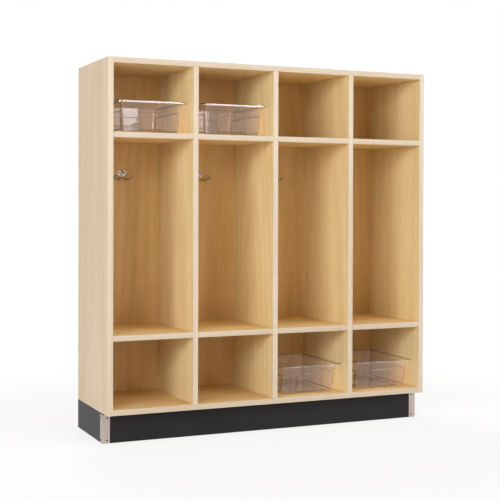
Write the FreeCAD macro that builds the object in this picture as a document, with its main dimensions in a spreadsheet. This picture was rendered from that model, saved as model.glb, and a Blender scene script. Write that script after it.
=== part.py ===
import FreeCAD, Part
import math
import os
import re

import Sketcher

# Open locker for bags and coats: four columns, each with an upper cubby, a tall bay with a double hook and a
# lower cubby, on a black base that is set back at the front. Millimetres. +X is to the right seen from the
# front, +Y is to the rear, +Z is up. The origin is on the floor under the middle of the locker.

# Driving sizes
SIZES = {
    # Carcase
    "overall_width": 1219.2,
    "overall_depth": 381.0,
    "panel_thickness": 19.05,
    "upper_clear": 228.6,
    "middle_clear": 660.4,
    "lower_clear": 228.6,
    "back_thickness": 6.35,
    "rabbet_width": 9.5,
    "groove_depth": 5.0,
    "band_thickness": 3.0,
    "band_edge_radius": 1.5,
    # Dowels and screws
    "dowel_diameter": 8.0,
    "dowel_clearance": 0.1,
    "dowel_short_leg": 12.0,
    "dowel_long_leg": 20.0,
    "dowel_end_gap": 1.0,
    "carcase_dowel_margin": 50.0,
    "base_dowel_margin": 25.0,
    "screw_clearance": 0.1,
    "screw_tip_gap": 1.0,
    "back_screw_diameter": 3.0,
    "back_screw_length": 16.0,
    "back_screw_head": 6.0,
    # Base
    "base_height": 101.6,
    "toe_recess": 60.0,
    "rail_thickness": 19.05,
    "cover_thickness": 3.2,
    "cleat_width": 38.1,
    "cleat_height": 25.4,
    "cleat_screw_diameter": 4.0,
    "cleat_screw_bite": 12.0,
    "cleat_screw_head": 8.0,
    "cleat_screw_head_height": 2.4,
    "cleat_screw_margin": 45.0,
    "cleat_screw_dowel_gap": 8.0,
    # Corner guards
    "guard_leg": 26.5,
    "guard_thickness": 1.5,
    "guard_corner_radius": 2.0,
    "guard_top_gap": 4.5,
    "guard_screw_offset": 15.5,
    "guard_screw_margin": 10.7,
    "guard_screw_diameter": 3.0,
    "guard_screw_length": 12.0,
    "guard_screw_head": 6.0,
    "guard_screw_head_height": 1.6,
    # Hooks
    "hook_below_shelf": 106.7,
    "hook_hole_spacing": 20.5,
    "hook_wing_radius": 5.5,
    "hook_foot_drop": 14.5,
    "hook_foot_radius": 5.5,
    "hook_plate_thickness": 2.5,
    "hook_boss_width": 15.0,
    "hook_boss_height": 29.0,
    "hook_boss_projection": 6.0,
    "hook_boss_drop": 5.0,
    "hook_splay": 36.0,
    "hook_prong_diameter": 5.6,
    "hook_root_reach": 3.0,
    "hook_low_reach": 19.0,
    "hook_low_drop": 26.5,
    "hook_throat_radius": 18.0,
    "hook_sweep_radius": 29.0,
    "hook_tip_reach": 40.0,
    "hook_ball_diameter": 11.5,
    "hook_screw_diameter": 4.0,
    "hook_screw_length": 8.0,
    "hook_screw_head": 6.5,
    "hook_screw_head_height": 1.8,
    # Bins
    "bin_side_clearance": 16.5,
    "bin_rear_clearance": 42.0,
    "bin_height": 107.0,
    "bin_wall": 2.2,
    "bin_draft": 8.0,
    "bin_corner_radius": 10.5,
    "bin_foot_radius": 9.0,
    "bin_rim_overhang": 16.0,
    "bin_rim_corner_radius": 17.5,
    "bin_rim_depth": 7.0,
    "bin_edge_radius": 0.9,
    "bin_setback": 12.0,
    "bin_seat_gap": 0.3,
    "bin_panel_raise": 2.0,
    "bin_panel_top": 73.0,
    "bin_panel_corner": 8.0,
    "bin_end_panel_margin": 52.0,
    "bin_end_panel_flare": 7.0,
    "bin_side_panel_margin": 14.0,
    "bin_side_panel_flare": 5.0,
}

COLUMNS = 4
DIVIDERS = COLUMNS - 1
CARCASE_DOWELS_PER_CORNER = 4
CLEAT_SCREWS = 3
CROSS_RAIL_COLUMNS = (1, 3)
BIN_PLACES = (("upper", 1), ("upper", 2), ("lower", 3), ("lower", 4))

# Places worked out from the driving sizes, as formulas
COLUMN = f"((overall_width - {COLUMNS + 1} * panel_thickness) / {COLUMNS})"
PITCH = f"({COLUMN} + panel_thickness)"
FRONT = "(-overall_depth / 2)"
REAR = "(overall_depth / 2)"
CORE_FRONT = f"({FRONT} + band_thickness)"
CORE_DEPTH = "(overall_depth - band_thickness)"
BACK_FACE = f"({REAR} - back_thickness)"
INNER_DEPTH = "(overall_depth - band_thickness - back_thickness)"
CLEAR_HEIGHT = "(lower_clear + middle_clear + upper_clear + 2 * panel_thickness)"
SIDE_HEIGHT = f"({CLEAR_HEIGHT} + 2 * panel_thickness)"
INSIDE_WIDTH = "(overall_width - 2 * panel_thickness)"
FLOOR_TOP = "(base_height + panel_thickness)"
LOWER_SHELF = f"({FLOOR_TOP} + lower_clear)"
UPPER_SHELF = f"({LOWER_SHELF} + panel_thickness + middle_clear)"
TOP_UNDERSIDE = f"({FLOOR_TOP} + {CLEAR_HEIGHT})"
BASE_FRONT = f"({FRONT} + toe_recess)"
RAIL_FRONT = f"({BASE_FRONT} + cover_thickness)"
RAIL_INSIDE_FRONT = f"({RAIL_FRONT} + rail_thickness)"
RAIL_INSIDE_REAR = f"({REAR} - rail_thickness)"
DOWEL_HOLE = "(dowel_diameter + dowel_clearance)"

# Corners closer than this are the same corner
SAME_PLACE = 1e-3

# Angles in degrees
QUARTER_TURN = 90
HALF_TURN = 180

LEFT = -1
RIGHT = 1
SIDES = {"left": LEFT, "right": RIGHT}

doc = FreeCAD.newDocument("BackpackLocker")
sheet = doc.addObject("Spreadsheet::Sheet", "Sizes")
for row, (alias, size) in enumerate(SIZES.items(), start=1):
    sheet.set(f"A{row}", alias)
    sheet.set(f"B{row}", str(size))
    sheet.setAlias(f"B{row}", alias)
doc.recompute()

sub_parts = []


def formula(text):
    """Turn the names of sizes in a formula into references to the sheet."""
    return re.sub(r"[a-z_]+", lambda word: f"Sizes.{word[0]}" if word[0] in SIZES else word[0], str(text))


def number(text):
    """Work out what a formula gives with the sheet's present sizes."""
    return float(sheet.evalExpression(formula(text)))


def bind(item, **formulas):
    """Bind properties of an object to formulas; two underscores stand for the dot in a property's path."""
    for path, text in formulas.items():
        item.setExpression(path.replace("__", "."), formula(text))


def place(item, x=0, y=0, z=0):
    """Bind an object's position to three formulas."""
    bind(item, Placement__Base__x=x, Placement__Base__y=y, Placement__Base__z=z)


def turn(item, axis, angle):
    """Turn an object about an axis through its own origin, keeping its place."""
    rotation = FreeCAD.Rotation(FreeCAD.Vector(*axis), angle)
    item.Placement = FreeCAD.Placement(FreeCAD.Vector(0, 0, 0), rotation)


def new_body(label):
    """Start a sub-part as a body whose label names its file."""
    body = doc.addObject("PartDesign::Body", label)
    body.Label = label
    sub_parts.append(body)
    return body


def new_sketch(body, name, role, offset=0):
    """Start a sketch on one of the body's origin planes, moved along the plane's normal."""
    sketch = body.newObject("Sketcher::SketchObject", f"{body.Label}_{name}")
    support = [feature for feature in body.Origin.OriginFeatures if feature.Role == role]
    sketch.AttachmentSupport = [(support[0], "")]
    sketch.MapMode = "FlatFace"
    bind(sketch, AttachmentOffset__Base__z=offset)
    return sketch


def tilt(sketch, axis, angle):
    """Turn a sketch on its plane about an axis of the sketch, by a formula in degrees."""
    rotation = FreeCAD.Rotation(FreeCAD.Vector(*axis), number(angle))
    sketch.AttachmentOffset = FreeCAD.Placement(sketch.AttachmentOffset.Base, rotation)
    bind(sketch, AttachmentOffset__Rotation__Angle=angle)


def dimension(sketch, kind, element, text):
    """Add a dimension to a sketch and bind it to a formula."""
    index = sketch.addConstraint(Sketcher.Constraint(kind, *element, number(text)))
    sketch.setExpression(f"Constraints[{index}]", formula(text))


def fix_point(sketch, geometry, point, x, y):
    """Dimension a point of a sketch from the sketch's origin."""
    dimension(sketch, "DistanceX", (-1, 1, geometry, point), x)
    dimension(sketch, "DistanceY", (-1, 1, geometry, point), y)


def polygon(sketch, points):
    """Draw a closed outline of straight lines through points given as formulas."""
    vectors = [FreeCAD.Vector(number(x), number(y), 0) for x, y in points]
    first = sketch.GeometryCount
    count = len(points)
    for index in range(count):
        sketch.addGeometry(Part.LineSegment(vectors[index], vectors[(index + 1) % count]))
    for index in range(count):
        following = first + (index + 1) % count
        sketch.addConstraint(Sketcher.Constraint("Coincident", first + index, 2, following, 1))
    for index, (x, y) in enumerate(points):
        fix_point(sketch, first + index, 1, x, y)


def rectangle(sketch, left, bottom, right, top):
    """Draw a rectangle between two corners given as formulas."""
    polygon(sketch, [(left, bottom), (right, bottom), (right, top), (left, top)])


def circle(sketch, x, y, diameter):
    """Draw a circle with its centre and diameter given as formulas."""
    centre = FreeCAD.Vector(number(x), number(y), 0)
    index = sketch.addGeometry(Part.Circle(centre, FreeCAD.Vector(0, 0, 1), number(diameter) / 2))
    fix_point(sketch, index, 3, x, y)
    dimension(sketch, "Diameter", (index,), diameter)


def arc(sketch, x, y, radius, start, end):
    """Draw an arc about a centre and give its index; the angles in degrees only say where it starts."""
    whole = Part.Circle(FreeCAD.Vector(number(x), number(y), 0), FreeCAD.Vector(0, 0, 1), number(radius))
    index = sketch.addGeometry(Part.ArcOfCircle(whole, math.radians(start), math.radians(end)))
    fix_point(sketch, index, 3, x, y)
    dimension(sketch, "Radius", (index,), radius)
    return index


def tangent_loop(sketch, arcs):
    """Join arcs, in order, into one closed outline with straight lines tangent to both neighbours."""
    for index, following in zip(arcs, arcs[1:] + arcs[:1]):
        start = sketch.Geometry[index].EndPoint
        end = sketch.Geometry[following].StartPoint
        line = sketch.addGeometry(Part.LineSegment(start, end))
        sketch.addConstraint(Sketcher.Constraint("Tangent", index, 2, line, 1))
        sketch.addConstraint(Sketcher.Constraint("Tangent", line, 2, following, 1))


def round_corners(sketch, centres, radius):
    """Draw a four-sided outline with round corners, from the corners' centres round from the upper right."""
    arcs = []
    for index, (x, y) in enumerate(centres):
        start = index * QUARTER_TURN
        arcs.append(arc(sketch, x, y, radius, start, start + QUARTER_TURN))
    tangent_loop(sketch, arcs)


def rounded_rectangle(sketch, width, length, radius):
    """Draw a rectangle with round corners about the sketch's origin."""
    x = f"(({width}) / 2 - ({radius}))"
    y = f"(({length}) / 2 - ({radius}))"
    round_corners(sketch, [(x, y), (f"-{x}", y), (f"-{x}", f"-{y}"), (x, f"-{y}")], radius)


def pad(body, sketch, length, reverse=False):
    """Pad a sketch along its normal, or against it."""
    feature = body.newObject("PartDesign::Pad", f"{sketch.Name}_pad")
    feature.Profile = sketch
    feature.Reversed = reverse
    bind(feature, Length=length)
    return feature


def pocket(body, sketch, depth, reverse=False):
    """Cut a sketch into the body against its normal, or along it."""
    feature = body.newObject("PartDesign::Pocket", f"{sketch.Name}_pocket")
    feature.Profile = sketch
    feature.Reversed = reverse
    bind(feature, Length=depth)
    return feature


def drill(body, name, role, offset, centres, diameter, depth, reverse=False):
    """Drill equal holes from a plane; they go against the plane's normal unless reversed."""
    sketch = new_sketch(body, name, role, offset)
    for x, y in centres:
        circle(sketch, x, y, diameter)
    return pocket(body, sketch, depth, reverse)


def groove(body, name, corner, length, width, height):
    """Cut a straight rabbet out of a board, as a box from its lowest corner."""
    box = body.newObject("PartDesign::SubtractiveBox", f"{body.Label}_{name}")
    bind(box, Length=length, Width=width, Height=height)
    place(box, *corner)


def column_middle(column):
    """Give the middle of a column, counted from 1 at the left."""
    return f"({column - (COLUMNS + 1) / 2}) * {PITCH}"


def divider_middle(divider):
    """Give the middle of a divider, counted from 1 at the left."""
    return f"({divider - COLUMNS / 2}) * {PITCH}"


def spread(low, high, count, index):
    """Give one of several evenly spaced places between two formulas."""
    return f"({low}) + ({high} - ({low})) * {index} / {count - 1}"


def notch(edge, depth, low, high):
    """Give the four points of a groove cut into an edge at x = edge, from low to high."""
    return [(edge, low), (f"{edge} - ({depth})", low), (f"{edge} - ({depth})", high), (edge, high)]


# Carcase dowels: their depths and their places along the joint
FIRST_DOWEL = f"{FRONT} + carcase_dowel_margin"
LAST_DOWEL = f"{REAR} - carcase_dowel_margin"
DOWEL_ROWS = [
    spread(FIRST_DOWEL, LAST_DOWEL, CARCASE_DOWELS_PER_CORNER, index)
    for index in range(CARCASE_DOWELS_PER_CORNER)
]
BACK_SCREW_HEIGHTS = [
    f"{FLOOR_TOP} + lower_clear / 2",
    f"{LOWER_SHELF} + panel_thickness + middle_clear / 6",
    f"{LOWER_SHELF} + panel_thickness + middle_clear / 2",
    f"{LOWER_SHELF} + panel_thickness + middle_clear * 5 / 6",
    f"{UPPER_SHELF} + panel_thickness + upper_clear / 2",
]
BACK_SCREW_SIDE = f"({INSIDE_WIDTH} / 2 + rabbet_width / 2)"
BACK_SCREW_TOP = f"({TOP_UNDERSIDE} + rabbet_width / 2)"
BACK_SCREW_BOTTOM = f"({FLOOR_TOP} - rabbet_width / 2)"
BACK_SCREW_BITE = "(back_screw_length - back_thickness + screw_tip_gap)"
BACK_SCREW_HOLE = "(back_screw_diameter + screw_clearance)"
# The cleats' screws stand clear of the inner ends of the dowels in the bottom
CLEAT_SCREW_X = f"({INSIDE_WIDTH} / 2 - dowel_long_leg - dowel_end_gap - cleat_screw_dowel_gap)"
CLEAT_SCREW_ROWS = [
    spread(
        f"{RAIL_INSIDE_FRONT} + cleat_screw_margin",
        f"{RAIL_INSIDE_REAR} - cleat_screw_margin",
        CLEAT_SCREWS,
        index,
    )
    for index in range(CLEAT_SCREWS)
]
CLEAT_SCREW_HOLE = "(cleat_screw_diameter + screw_clearance)"
CLEAT_SCREW_LENGTH = "(cleat_height + cleat_screw_bite)"
GUARD_HEIGHT = "(base_height - guard_top_gap)"
GUARD_SCREW_HEIGHTS = ["guard_screw_margin", f"{GUARD_HEIGHT} - guard_screw_margin"]
GUARD_SCREW_HOLE = "(guard_screw_diameter + screw_clearance)"
GUARD_SCREW_BITE = "(guard_screw_length - guard_thickness - cover_thickness + screw_tip_gap)"
HOOK_HEIGHT = f"({UPPER_SHELF} - hook_below_shelf)"
HOOK_SCREW_HOLE = "(hook_screw_diameter + screw_clearance)"


def drill_back_screws(body, centres):
    """Drill pilot holes into a rabbet for the screws that hold the back."""
    depth = BACK_SCREW_BITE
    drill(body, "screw_holes", "XZ_Plane", f"-({BACK_FACE})", centres, BACK_SCREW_HOLE, depth, reverse=True)


# Carcase panels
def side_panel(side):
    """Build an upright side with grooves for the shelves, a rabbet for the back and dowel holes."""
    hand = SIDES[side]
    body = new_body(f"{side}_side_panel")
    outline = new_sketch(body, "outline", "XZ_Plane", f"-({CORE_FRONT})")
    inner = f"({-hand} * panel_thickness)"
    lower = "(panel_thickness + lower_clear)"
    upper = f"({lower} + panel_thickness + middle_clear)"
    points = [("0", "0"), (inner, "0")]
    for level in (lower, upper):
        points += notch(inner, f"{-hand} * groove_depth", level, f"{level} + panel_thickness")
    points += [(inner, SIDE_HEIGHT), ("0", SIDE_HEIGHT)]
    polygon(outline, points)
    pad(body, outline, CORE_DEPTH, reverse=True)
    rabbet_left = "(panel_thickness - rabbet_width)" if hand == LEFT else "(-panel_thickness)"
    groove(
        body,
        "rabbet",
        (rabbet_left, BACK_FACE, "panel_thickness - rabbet_width"),
        "rabbet_width",
        "back_thickness",
        f"{CLEAR_HEIGHT} + 2 * rabbet_width",
    )
    levels = ("panel_thickness / 2", f"{SIDE_HEIGHT} - panel_thickness / 2")
    centres = [(row, level) for row in DOWEL_ROWS for level in levels]
    depth = "dowel_short_leg + dowel_end_gap"
    drill(body, "dowel_holes", "YZ_Plane", inner, centres, DOWEL_HOLE, depth, reverse=hand == RIGHT)
    middle = f"({-hand} * (panel_thickness - rabbet_width / 2))"
    drill_back_screws(body, [(middle, f"{height} - base_height") for height in BACK_SCREW_HEIGHTS])
    place(body, f"{hand} * overall_width / 2", 0, "base_height")


def cross_panel(label, height, grooves_up):
    """Build the top or the bottom, which lies between the sides and has a groove for each divider."""
    body = new_body(label)
    outline = new_sketch(body, "outline", "XZ_Plane", f"-({CORE_FRONT})")
    half = f"({INSIDE_WIDTH} / 2)"
    face = "panel_thickness" if grooves_up else "0"
    floor = "panel_thickness - groove_depth" if grooves_up else "groove_depth"
    other = "0" if grooves_up else "panel_thickness"
    points = [(f"-{half}", other), (f"-{half}", face)]
    for divider in range(1, DIVIDERS + 1):
        low = f"{divider_middle(divider)} - panel_thickness / 2"
        high = f"{divider_middle(divider)} + panel_thickness / 2"
        points += [(low, face), (low, floor), (high, floor), (high, face)]
    points += [(half, face), (half, other)]
    polygon(outline, points)
    pad(body, outline, CORE_DEPTH, reverse=True)
    rabbet_floor = "panel_thickness - rabbet_width" if grooves_up else "0"
    corner = (f"-{half}", BACK_FACE, rabbet_floor)
    groove(body, "rabbet", corner, INSIDE_WIDTH, "back_thickness", "rabbet_width")
    rows = [(row, "panel_thickness / 2") for row in DOWEL_ROWS]
    depth = "dowel_long_leg + dowel_end_gap"
    drill(body, "right_dowel_holes", "YZ_Plane", half, rows, DOWEL_HOLE, depth)
    drill(body, "left_dowel_holes", "YZ_Plane", f"-{half}", rows, DOWEL_HOLE, depth, reverse=True)
    level = "panel_thickness - rabbet_width / 2" if grooves_up else "rabbet_width / 2"
    drill_back_screws(body, [(column_middle(column), level) for column in range(1, COLUMNS + 1)])
    place(body, 0, 0, height)
    return body


def bottom_panel():
    """Build the bottom, with pilot holes under it for the screws that come up through the cleats."""
    body = cross_panel("bottom_panel", "base_height", grooves_up=True)
    centres = [(f"{hand} * {CLEAT_SCREW_X}", row) for hand in (LEFT, RIGHT) for row in CLEAT_SCREW_ROWS]
    depth = "cleat_screw_bite + screw_tip_gap"
    drill(body, "cleat_screw_holes", "XY_Plane", 0, centres, CLEAT_SCREW_HOLE, depth, reverse=True)


def divider(index):
    """Build an upright divider, with a groove on each face for every shelf that it carries."""
    body = new_body(f"divider_{index}")
    outline = new_sketch(body, "outline", "XZ_Plane", f"-({CORE_FRONT})")
    half = "(panel_thickness / 2)"
    lower = "lower_clear"
    upper = "(lower_clear + panel_thickness + middle_clear)"
    right = [(half, "-groove_depth")]
    for level in (lower, upper):
        right += notch(half, "groove_depth", level, f"{level} + panel_thickness")
    right += [(half, f"{CLEAR_HEIGHT} + groove_depth")]
    left = [(f"-({x})", y) for x, y in reversed(right)]
    polygon(outline, right + left)
    pad(body, outline, INNER_DEPTH, reverse=True)
    place(body, divider_middle(index), 0, FLOOR_TOP)


def shelf(level, height, column):
    """Build a fixed shelf whose ends are housed in the uprights beside it."""
    body = new_body(f"{level}_shelf_{column}")
    outline = new_sketch(body, "outline", "XZ_Plane", f"-({CORE_FRONT})")
    half = f"({COLUMN} / 2 + groove_depth)"
    rectangle(outline, f"-{half}", "0", half, "panel_thickness")
    pad(body, outline, INNER_DEPTH, reverse=True)
    place(body, column_middle(column), 0, height)


def back_panel():
    """Build the back, with countersunk holes round its edge and pilot holes for the hooks."""
    body = new_body("back_panel")
    outline = new_sketch(body, "outline", "XZ_Plane", f"-({REAR})")
    half = f"({INSIDE_WIDTH} / 2 + rabbet_width)"
    rectangle(outline, f"-{half}", f"{FLOOR_TOP} - rabbet_width", half, f"{TOP_UNDERSIDE} + rabbet_width")
    pad(body, outline, "back_thickness")
    centres = []
    for column in range(1, COLUMNS + 1):
        for hand in (LEFT, RIGHT):
            centres.append((f"{column_middle(column)} + {hand} * hook_hole_spacing / 2", HOOK_HEIGHT))
    drill(body, "hook_holes", "XZ_Plane", f"-({BACK_FACE})", centres, HOOK_SCREW_HOLE, "back_thickness")
    return body


def back_screw_places():
    """List where the back's screws go, as pairs of formulas seen from the front."""
    places = []
    for hand in (LEFT, RIGHT):
        places += [(f"{hand} * {BACK_SCREW_SIDE}", height) for height in BACK_SCREW_HEIGHTS]
    for level in (BACK_SCREW_TOP, BACK_SCREW_BOTTOM):
        places += [(column_middle(column), level) for column in range(1, COLUMNS + 1)]
    return places


def countersink_back(body):
    """Give the back its countersunk screw holes, open to the rear."""
    sketch = new_sketch(body, "screw_holes", "XZ_Plane", f"-({REAR})")
    tilt(sketch, (0, 1, 0), HALF_TURN)
    for x, z in back_screw_places():
        circle(sketch, f"-({x})", z, BACK_SCREW_HOLE)
    doc.recompute()
    hole = body.newObject("PartDesign::Hole", "back_panel_countersinks")
    hole.Profile = sketch
    doc.recompute()
    hole.ThreadType = "None"
    hole.DepthType = "Dimension"
    hole.DrillPoint = "Flat"
    hole.HoleCutType = "Countersink"
    hole.HoleCutCustomValues = True
    hole.HoleCutCountersinkAngle = 90
    bind(hole, Diameter=BACK_SCREW_HOLE, Depth="back_thickness")
    bind(hole, HoleCutDiameter="back_screw_head + screw_clearance")


# Hardwood strips on the front edges
def edge_band(label, length):
    """Build a strip with two eased front edges, standing on the floor plane, centred in x."""
    body = new_body(label)
    section = new_sketch(body, "section", "XY_Plane")
    half = "(panel_thickness / 2)"
    middle = f"({half} - band_edge_radius)"
    eased = f"({FRONT} + band_edge_radius)"
    first = arc(section, f"-{middle}", eased, "band_edge_radius", 180, 270)
    second = arc(section, middle, eased, "band_edge_radius", 270, 360)
    rear_right = FreeCAD.Vector(number(half), number(CORE_FRONT), 0)
    rear_left = FreeCAD.Vector(-number(half), number(CORE_FRONT), 0)
    ends = [
        (section.Geometry[first].EndPoint, section.Geometry[second].StartPoint),
        (section.Geometry[second].EndPoint, rear_right),
        (rear_right, rear_left),
        (rear_left, section.Geometry[first].StartPoint),
    ]
    face, right, rear, left = [section.addGeometry(Part.LineSegment(*pair)) for pair in ends]
    section.addConstraint(Sketcher.Constraint("Tangent", first, 2, face, 1))
    section.addConstraint(Sketcher.Constraint("Tangent", face, 2, second, 1))
    section.addConstraint(Sketcher.Constraint("Tangent", second, 2, right, 1))
    section.addConstraint(Sketcher.Constraint("Tangent", left, 2, first, 1))
    section.addConstraint(Sketcher.Constraint("Coincident", right, 2, rear, 1))
    section.addConstraint(Sketcher.Constraint("Coincident", rear, 2, left, 1))
    section.addConstraint(Sketcher.Constraint("Horizontal", rear))
    dimension(section, "DistanceY", (-1, 1, rear, 1), CORE_FRONT)
    pad(body, section, length)
    return body


def upright_band(label, length, x, z):
    """Place a strip on the front edge of an upright."""
    place(edge_band(label, length), x, 0, z)


def level_band(label, length, x, z):
    """Place a strip on the front edge of a level board, with its length along X from x - length / 2."""
    body = edge_band(label, length)
    turn(body, (0, 1, 0), 90)
    place(body, f"{x} - {length} / 2", 0, f"{z} + panel_thickness / 2")


# Round pieces that come in groups
def group(label, members):
    """Gather separate equal solids into one sub-part."""
    compound = doc.addObject("Part::Compound", label)
    compound.Label = label
    compound.Links = members
    sub_parts.append(compound)


# The turn that lays a piece built along +Z along another axis
AXES = {
    "+X": ((0, 1, 0), 90),
    "-X": ((0, 1, 0), -90),
    "+Y": ((1, 0, 0), -90),
    "-Y": ((1, 0, 0), 90),
    "+Z": ((0, 0, 1), 0),
}


def dowel(name, axis, x, y, z):
    """Build a dowel that starts at a point and runs along an axis."""
    peg = doc.addObject("Part::Cylinder", name)
    turn(peg, *AXES[axis])
    bind(peg, Radius="dowel_diameter / 2", Height="dowel_short_leg + dowel_long_leg")
    place(peg, x, y, z)
    return peg


def screw(name, kind, length, axis, x, y, z, countersunk=False):
    """Build a screw whose head seats at a point and whose shank runs along an axis.

    A countersunk head lies inside the surface, any other head stands on it.
    """
    shank = doc.addObject("Part::Cylinder", f"{name}_shank")
    head = doc.addObject("Part::Cone", f"{name}_head")
    whole = doc.addObject("Part::Fuse", name)
    whole.Base = shank
    whole.Tool = head
    bind(shank, Radius=f"{kind}_diameter / 2", Height=length)
    if countersunk:
        bind(head, Radius1=f"{kind}_head / 2", Radius2=f"{kind}_diameter / 2")
        bind(head, Height=f"({kind}_head - {kind}_diameter) / 2")
    else:
        bind(head, Radius1=f"{kind}_head / 2 - {kind}_head_height / 2", Radius2=f"{kind}_head / 2")
        bind(head, Height=f"{kind}_head_height")
        place(head, 0, 0, f"-{kind}_head_height")
    turn(whole, *AXES[axis])
    place(whole, x, y, z)
    return whole


def carcase_dowels():
    """Build the dowels between the sides and the top and bottom."""
    pegs = []
    start = "(overall_width / 2 - panel_thickness + dowel_short_leg)"
    for hand, axis in ((LEFT, "+X"), (RIGHT, "-X")):
        for level in ("base_height + panel_thickness / 2", f"{TOP_UNDERSIDE} + panel_thickness / 2"):
            for row in DOWEL_ROWS:
                pegs.append(dowel(f"carcase_dowel_{len(pegs) + 1}", axis, f"{hand} * {start}", row, level))
    group("carcase_dowels", pegs)


def back_screws():
    """Build the screws that hold the back in its rabbets."""
    screws = []
    for x, z in back_screw_places():
        name = f"back_screw_{len(screws) + 1}"
        screws.append(screw(name, "back_screw", "back_screw_length", "-Y", x, REAR, z, countersunk=True))
    group("back_screws", screws)


# Base
BASE_DOWEL_LEVELS = ["base_dowel_margin", "base_height - base_dowel_margin"]
END_RAIL_INNER = "(overall_width / 2 - cover_thickness - rail_thickness)"


def end_rail(side):
    """Build an end rail of the base, which runs the whole depth behind the front cover."""
    hand = SIDES[side]
    body = new_body(f"base_{side}_rail")
    outline = new_sketch(body, "outline", "XY_Plane")
    outer = f"({hand} * (overall_width / 2 - cover_thickness))"
    inner = f"({hand} * {END_RAIL_INNER})"
    rectangle(outline, outer, RAIL_FRONT, inner, REAR)
    pad(body, outline, "base_height")
    rows = (f"{RAIL_FRONT} + rail_thickness / 2", f"{REAR} - rail_thickness / 2")
    pegs = [(row, level) for row in rows for level in BASE_DOWEL_LEVELS]
    depth = "dowel_short_leg + dowel_end_gap"
    drill(body, "dowel_holes", "YZ_Plane", inner, pegs, DOWEL_HOLE, depth, reverse=hand == RIGHT)
    front = [(f"{hand} * (overall_width / 2 - guard_screw_offset)", level) for level in GUARD_SCREW_HEIGHTS]
    bite = GUARD_SCREW_BITE
    drill(body, "front_screw_holes", "XZ_Plane", f"-({RAIL_FRONT})", front, GUARD_SCREW_HOLE, bite)
    flank = [(f"{BASE_FRONT} + guard_screw_offset", level) for level in GUARD_SCREW_HEIGHTS]
    inward = hand == LEFT
    drill(body, "side_screw_holes", "YZ_Plane", outer, flank, GUARD_SCREW_HOLE, bite, inward)


def long_rail(label, front):
    """Build the front or the rear rail, which lies between the end rails."""
    body = new_body(label)
    outline = new_sketch(body, "outline", "XY_Plane")
    rectangle(outline, f"-{END_RAIL_INNER}", front, END_RAIL_INNER, f"{front} + rail_thickness")
    pad(body, outline, "base_height")
    ends = [(f"{front} + rail_thickness / 2", level) for level in BASE_DOWEL_LEVELS]
    depth = "dowel_long_leg + dowel_end_gap"
    drill(body, "right_dowel_holes", "YZ_Plane", END_RAIL_INNER, ends, DOWEL_HOLE, depth)
    drill(body, "left_dowel_holes", "YZ_Plane", f"-{END_RAIL_INNER}", ends, DOWEL_HOLE, depth, reverse=True)
    cross = [(divider_middle(column), level) for column in CROSS_RAIL_COLUMNS for level in BASE_DOWEL_LEVELS]
    forward = label == "base_front_rail"
    inside = RAIL_INSIDE_FRONT if forward else RAIL_INSIDE_REAR
    short = "dowel_short_leg + dowel_end_gap"
    drill(body, "cross_dowel_holes", "XZ_Plane", f"-({inside})", cross, DOWEL_HOLE, short, reverse=forward)


def cross_rail(index, column):
    """Build a cross rail under a divider, between the front and rear rails."""
    body = new_body(f"base_cross_rail_{index}")
    outline = new_sketch(body, "outline", "XY_Plane")
    rectangle(outline, "-rail_thickness / 2", RAIL_INSIDE_FRONT, "rail_thickness / 2", RAIL_INSIDE_REAR)
    pad(body, outline, "base_height")
    ends = [("0", level) for level in BASE_DOWEL_LEVELS]
    depth = "dowel_long_leg + dowel_end_gap"
    drill(body, "front_dowel_holes", "XZ_Plane", f"-{RAIL_INSIDE_FRONT}", ends, DOWEL_HOLE, depth)
    drill(body, "rear_dowel_holes", "XZ_Plane", f"-{RAIL_INSIDE_REAR}", ends, DOWEL_HOLE, depth, reverse=True)
    place(body, divider_middle(column), 0, 0)


def base_dowels():
    """Build the dowels that join the base's rails."""
    pegs = []
    start = f"({END_RAIL_INNER} + dowel_short_leg)"
    for level in BASE_DOWEL_LEVELS:
        for row in (f"{RAIL_FRONT} + rail_thickness / 2", f"{REAR} - rail_thickness / 2"):
            for hand, axis in ((LEFT, "+X"), (RIGHT, "-X")):
                pegs.append(dowel(f"base_dowel_{len(pegs) + 1}", axis, f"{hand} * {start}", row, level))
        for column in CROSS_RAIL_COLUMNS:
            x = divider_middle(column)
            front = f"{RAIL_INSIDE_FRONT} - dowel_short_leg"
            rear = f"{RAIL_INSIDE_REAR} + dowel_short_leg"
            pegs.append(dowel(f"base_dowel_{len(pegs) + 1}", "+Y", x, front, level))
            pegs.append(dowel(f"base_dowel_{len(pegs) + 1}", "-Y", x, rear, level))
    group("base_dowels", pegs)


def cleat(side):
    """Build a cleat inside an end rail, with holes for the screws that hold the carcase down."""
    hand = SIDES[side]
    body = new_body(f"base_{side}_cleat")
    outline = new_sketch(body, "outline", "XY_Plane", "base_height - cleat_height")
    outer = f"({hand} * {END_RAIL_INNER})"
    rectangle(outline, outer, RAIL_INSIDE_FRONT, f"{outer} - {hand} * cleat_width", RAIL_INSIDE_REAR)
    pad(body, outline, "cleat_height")
    centres = [(f"{hand} * {CLEAT_SCREW_X}", row) for row in CLEAT_SCREW_ROWS]
    drill(body, "screw_holes", "XY_Plane", "base_height", centres, CLEAT_SCREW_HOLE, "cleat_height")


def cleat_screws():
    """Build the screws that run up through the cleats into the bottom."""
    screws = []
    foot = "base_height - cleat_height"
    for hand in (LEFT, RIGHT):
        for row in CLEAT_SCREW_ROWS:
            x = f"{hand} * {CLEAT_SCREW_X}"
            name = f"cleat_screw_{len(screws) + 1}"
            screws.append(screw(name, "cleat_screw", CLEAT_SCREW_LENGTH, "+Z", x, row, foot))
    group("base_cleat_screws", screws)


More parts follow.
